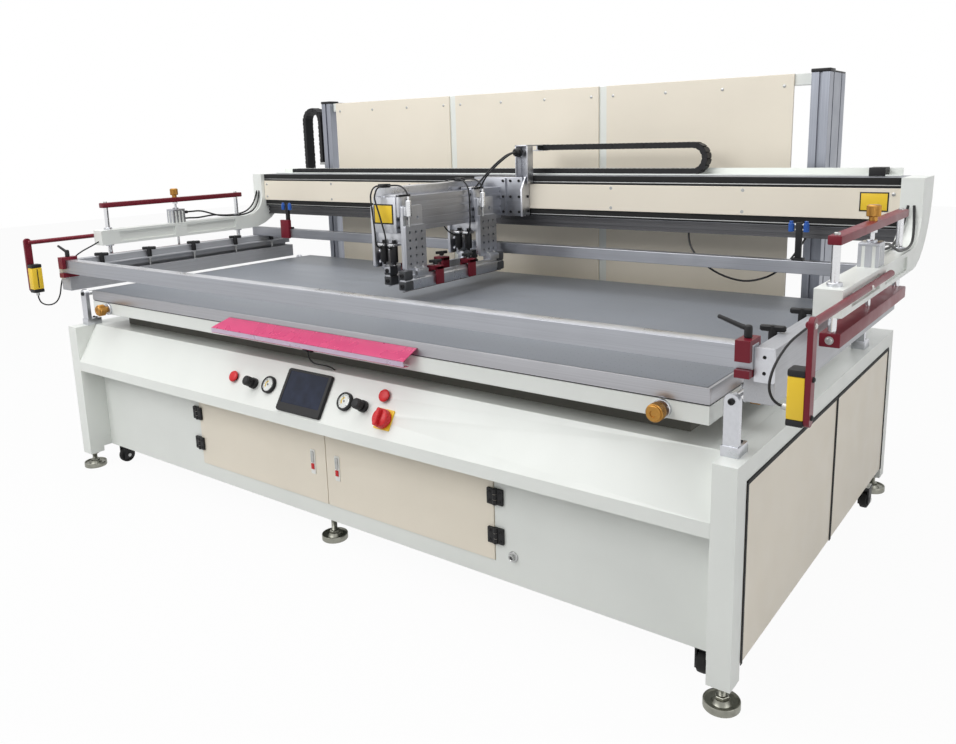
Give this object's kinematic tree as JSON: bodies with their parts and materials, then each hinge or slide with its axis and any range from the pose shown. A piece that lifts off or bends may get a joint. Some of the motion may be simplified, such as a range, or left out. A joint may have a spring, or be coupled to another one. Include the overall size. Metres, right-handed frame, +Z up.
{
  "type": "flat-bed screen printing press",
  "caption": "Flat-bed screen printing press: cabinet base, vacuum table, and a vertically lifting beam that carries a screen holder and a travelling squeegee carriage.",
  "frame": {"origin": "on the floor, under the middle of the press's box", "axes": "+X to the operator's right along the beam, +Y to the back, +Z up"},
  "size_m": [3.2166, 1.67, 1.55],
  "materials": {
    "white_paint": "satin",
    "beige_paint": "satin",
    "maroon_paint": "satin",
    "aluminium": "satin",
    "table_grey": "satin",
    "brass": "satin",
    "black_plastic": "matte",
    "red_plastic": "gloss",
    "zinc": "satin"
  },
  "bodies": {
    "base": {"base_frame": "white_paint", "top_cover": "white_paint", "front_panel": "white_paint", "side_panel_left": "beige_paint", "side_panel_right_front": "beige_paint", "side_panel_right_rear": "beige_paint", "touch_screen": "black_plastic", "levelling_foot_front_left": "zinc", "levelling_foot_front_right": "zinc", "levelling_foot_rear_left": "zinc", "levelling_foot_rear_right": "zinc", "column_left": "aluminium", "column_right": "aluminium", "rear_frame": "white_paint", "back_panel_left": "beige_paint", "back_panel_centre": "beige_paint", "back_panel_right": "beige_paint", "side_rod_left": "aluminium", "side_rod_right": "aluminium"},
    "cabinet_door_left": {"cabinet_door_left": "beige_paint"},
    "cabinet_door_right": {"cabinet_door_right": "beige_paint"},
    "stop_button": {"stop_button": "red_plastic"},
    "start_button": {"start_button": "red_plastic"},
    "regulator_knob_left": {"regulator_knob_left": "black_plastic"},
    "regulator_knob_right": {"regulator_knob_right": "black_plastic"},
    "main_switch_knob": {"main_switch_knob": "red_plastic"},
    "castor_wheel_front_left": {"castor_wheel_front_left": "black_plastic"},
    "castor_wheel_front_right": {"castor_wheel_front_right": "black_plastic"},
    "castor_wheel_rear_left": {"castor_wheel_rear_left": "black_plastic"},
    "castor_wheel_rear_right": {"castor_wheel_rear_right": "black_plastic"},
    "table_frame": {"table_frame": "white_paint"},
    "table_top": {"table_top": "table_grey"},
    "table_knob_front_left": {"table_knob_front_left": "brass"},
    "table_knob_front_right": {"table_knob_front_right": "brass"},
    "table_knob_side": {"table_knob_side": "brass"},
    "lift_knob_left": {"lift_knob_left": "brass"},
    "lift_knob_right": {"lift_knob_right": "brass"},
    "clamp_lever_left": {"clamp_lever_left": "black_plastic"},
    "clamp_lever_right": {"clamp_lever_right": "black_plastic"},
    "squeegee": {"squeegee": "aluminium"},
    "flood_bar": {"flood_bar": "aluminium"},
    "chain_loop": {"chain_loop": "black_plastic"},
    "beam": {"beam": "aluminium", "beam_cover": "beige_paint", "arm_left": "white_paint", "arm_right": "white_paint", "sensor_bracket_left": "maroon_paint", "sensor_bracket_right": "maroon_paint"},
    "screen_holder": {"lift_frame_left": "maroon_paint", "lift_frame_right": "maroon_paint", "screen_rail_left": "aluminium", "screen_rail_right": "aluminium", "screen_front_bar": "aluminium", "screen_rear_bar": "aluminium", "clamp_left": "maroon_paint", "clamp_right": "maroon_paint"},
    "carriage": {"carriage": "aluminium", "squeegee_boom": "aluminium", "head_front": "aluminium", "head_rear": "aluminium"}
  },
  "joints": [
    {"name": "door_left_hinge", "type": "hinge", "parent": "base", "child": "cabinet_door_left", "pos_m": [-0.7085, -0.6823, 0.29], "axis": [0, 0, -1], "range_deg": [0, 110]},
    {"name": "door_right_hinge", "type": "hinge", "parent": "base", "child": "cabinet_door_right", "pos_m": [0.7085, -0.6823, 0.29], "axis": [0, 0, 1], "range_deg": [0, 110]},
    {"name": "stop_button_press", "type": "slide", "parent": "base", "child": "stop_button", "axis": [0, 0.8539, -0.5205], "range_m": [0, 0.004], "stiffness_N_per_m": 500, "springref_m": -0.002},
    {"name": "start_button_press", "type": "slide", "parent": "base", "child": "start_button", "axis": [0, 0.8539, -0.5205], "range_m": [0, 0.004], "stiffness_N_per_m": 500, "springref_m": -0.002},
    {"name": "regulator_knob_left_turn", "type": "hinge", "parent": "base", "child": "regulator_knob_left", "pos_m": [-0.28, -0.73044, 0.54289], "axis": [0, -0.8539, 0.5205], "range_deg": [-360, 360]},
    {"name": "regulator_knob_right_turn", "type": "hinge", "parent": "base", "child": "regulator_knob_right", "pos_m": [0.245, -0.7268, 0.54887], "axis": [0, -0.8539, 0.5205], "range_deg": [-360, 360]},
    {"name": "main_switch_turn", "type": "hinge", "parent": "base", "child": "main_switch_knob", "pos_m": [0.342, -0.73929, 0.52838], "axis": [0, -0.8539, 0.5205], "range_deg": [0, 90]},
    {"name": "castor_front_left_roll", "type": "hinge", "parent": "base", "child": "castor_wheel_front_left", "pos_m": [-1.33, -0.64, 0.036], "axis": [1, 0, 0], "continuous": true},
    {"name": "castor_front_right_roll", "type": "hinge", "parent": "base", "child": "castor_wheel_front_right", "pos_m": [1.33, -0.64, 0.036], "axis": [1, 0, 0], "continuous": true},
    {"name": "castor_rear_left_roll", "type": "hinge", "parent": "base", "child": "castor_wheel_rear_left", "pos_m": [-1.429, 0.605, 0.036], "axis": [1, 0, 0], "continuous": true},
    {"name": "castor_rear_right_roll", "type": "hinge", "parent": "base", "child": "castor_wheel_rear_right", "pos_m": [1.429, 0.605, 0.036], "axis": [1, 0, 0], "continuous": true},
    {"name": "table_y", "type": "slide", "parent": "base", "child": "table_frame", "axis": [0, 1, 0], "range_m": [-0.008, 0.008]},
    {"name": "table_x", "type": "slide", "parent": "table_frame", "child": "table_top", "axis": [1, 0, 0], "range_m": [-0.008, 0.008]},
    {"name": "table_knob_front_left_turn", "type": "hinge", "parent": "table_frame", "child": "table_knob_front_left", "pos_m": [-1.23, -0.7, 0.708], "axis": [0, 1, 0], "range_deg": [-721, 721]},
    {"name": "table_knob_front_right_turn", "type": "hinge", "parent": "table_frame", "child": "table_knob_front_right", "pos_m": [1.23, -0.7, 0.708], "axis": [0, 1, 0], "range_deg": [-721, 721]},
    {"name": "table_knob_side_turn", "type": "hinge", "parent": "table_frame", "child": "table_knob_side", "pos_m": [1.348, -0.48, 0.708], "axis": [1, 0, 0], "range_deg": [-721, 721]},
    {"name": "beam_lift", "type": "slide", "parent": "base", "child": "beam", "axis": [0, 0, 1], "range_m": [-0.03, 0.3]},
    {"name": "screen_lift", "type": "slide", "parent": "beam", "child": "screen_holder", "axis": [0, 0, 1], "range_m": [0, 0.03]},
    {"name": "lift_knob_left_turn", "type": "hinge", "parent": "screen_holder", "child": "lift_knob_left", "pos_m": [-1.5545, -0.134, 1.119], "axis": [0, 0, 1], "continuous": true},
    {"name": "clamp_lever_left_turn", "type": "hinge", "parent": "screen_holder", "child": "clamp_lever_left", "pos_m": [-1.445, -0.736, 0.9163], "axis": [0, 0, 1], "range_deg": [-60, 60]},
    {"name": "lift_knob_right_turn", "type": "hinge", "parent": "screen_holder", "child": "lift_knob_right", "pos_m": [1.5545, -0.134, 1.119], "axis": [0, 0, 1], "continuous": true},
    {"name": "clamp_lever_right_turn", "type": "hinge", "parent": "screen_holder", "child": "clamp_lever_right", "pos_m": [1.445, -0.736, 0.9163], "axis": [0, 0, 1], "range_deg": [-60, 60]},
    {"name": "carriage_slide", "type": "slide", "parent": "beam", "child": "carriage", "axis": [1, 0, 0], "range_m": [-1.08, 1.08]},
    {"name": "squeegee_lift", "type": "slide", "parent": "carriage", "child": "squeegee", "axis": [0, 0, 1], "range_m": [-0.02, 0.03]},
    {"name": "flood_lift", "type": "slide", "parent": "carriage", "child": "flood_bar", "axis": [0, 0, 1], "range_m": [-0.02, 0.03]},
    {"name": "chain_roll", "type": "slide", "parent": "beam", "child": "chain_loop", "axis": [1, 0, 0], "range_m": [-0.541, 0.541]}
  ],
  "couplings": [
    {"joint": "table_knob_front_left_turn", "follows": "table_y", "rad_per_m": 1570.8},
    {"joint": "table_knob_front_right_turn", "follows": "table_y", "rad_per_m": 1570.8},
    {"joint": "table_knob_side_turn", "follows": "table_x", "rad_per_m": 1570.8},
    {"joint": "chain_roll", "follows": "carriage_slide", "ratio": 0.5}
  ]
}
